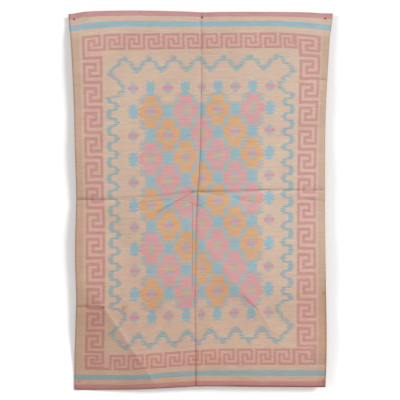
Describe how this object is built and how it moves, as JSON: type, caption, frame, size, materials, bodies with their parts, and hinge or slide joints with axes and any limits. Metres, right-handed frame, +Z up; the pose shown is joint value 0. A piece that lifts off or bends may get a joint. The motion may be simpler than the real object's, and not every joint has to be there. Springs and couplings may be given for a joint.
{
  "type": "dhurrie rug hung on nails",
  "caption": "Flat-woven cotton dhurrie rug with a key border and a lattice of flowers, hung face on by nails through its top edge, with fold creases and a soft corner.",
  "frame": {"origin": "where the middle nail enters the wall, which is the plane Y = 0", "axes": "+Z up along the rug's length, +X to the viewer's right along the top edge, -Y out of the wall towards the viewer, who sees the front"},
  "size_m": [1.935, 0.1013, 2.7792],
  "materials": {
    "cotton_weave": "matt weft-faced flat weave in faded beige, rose, orange and blue cotton",
    "dark_iron": "dark browned iron, slightly worn on the crown"
  },
  "bodies": {
    "root": {"rug": "cotton_weave", "nail_left": "dark_iron", "nail_middle": "dark_iron", "nail_right": "dark_iron"}
  },
  "joints": []
}
